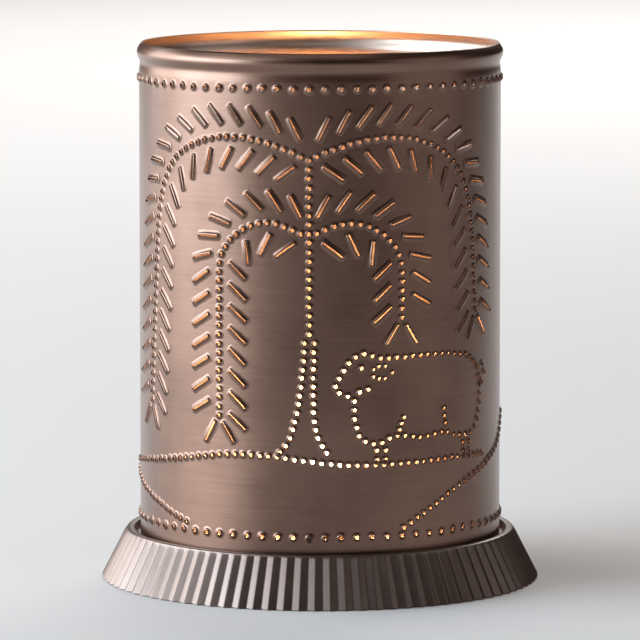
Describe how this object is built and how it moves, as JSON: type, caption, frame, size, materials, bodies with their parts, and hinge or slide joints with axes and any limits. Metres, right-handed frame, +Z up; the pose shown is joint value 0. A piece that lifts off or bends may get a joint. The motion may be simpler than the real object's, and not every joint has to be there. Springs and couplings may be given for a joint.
{
  "type": "punched metal table lantern",
  "caption": "Electric table lantern: an open-topped cylinder of dark punched tin with a willow and a sheep stands in a fluted, flared base round a small screw-in bulb.",
  "frame": {"origin": "centre of the face that the lantern rests on", "axes": "+Z up, -Y towards the willow's trunk at the front, +Y towards the seam and the cord inlet"},
  "size_m": [0.1708, 0.1706, 0.2086],
  "materials": {
    "dark_tin": "antiqued, brushed",
    "zinc_steel": "zinc plated",
    "felt": "pressed wool felt",
    "bush_rubber": "moulded",
    "holder_moulding": "moulded, matt",
    "brass": "bright",
    "lamp_glass": "clear",
    "insulator": "vitrified, glossy",
    "solder": "soft solder",
    "tungsten": "drawn wire"
  },
  "bodies": {
    "lantern": {"shade_wall": "dark_tin", "shade_tabs": "dark_tin", "tab_screws": "zinc_steel", "base_pan": "dark_tin", "spacer_posts": "zinc_steel", "bottom_plate": "zinc_steel", "plate_screws": "zinc_steel", "felt_pad": "felt", "cord_grommet": "bush_rubber", "holder_yoke": "zinc_steel", "yoke_screws": "zinc_steel", "yoke_nuts": "zinc_steel", "threaded_nipple": "zinc_steel", "nipple_nut": "brass", "lock_washer": "zinc_steel", "holder_body": "holder_moulding", "screw_shell": "brass", "centre_contact": "brass", "contact_rivet": "brass", "terminal_plates": "brass", "terminal_screws": "brass"},
    "bulb": {"bulb_glass": "lamp_glass", "bulb_cap": "brass", "cap_insulator": "insulator", "cap_contact": "solder", "glass_stem": "lamp_glass", "lead_wires": "tungsten", "filament": "tungsten"}
  },
  "joints": [
    {"name": "bulb_lift", "type": "slide", "parent": "lantern", "child": "bulb", "axis": [0, 0, 1], "range_m": [0, 0.2]}
  ]
}
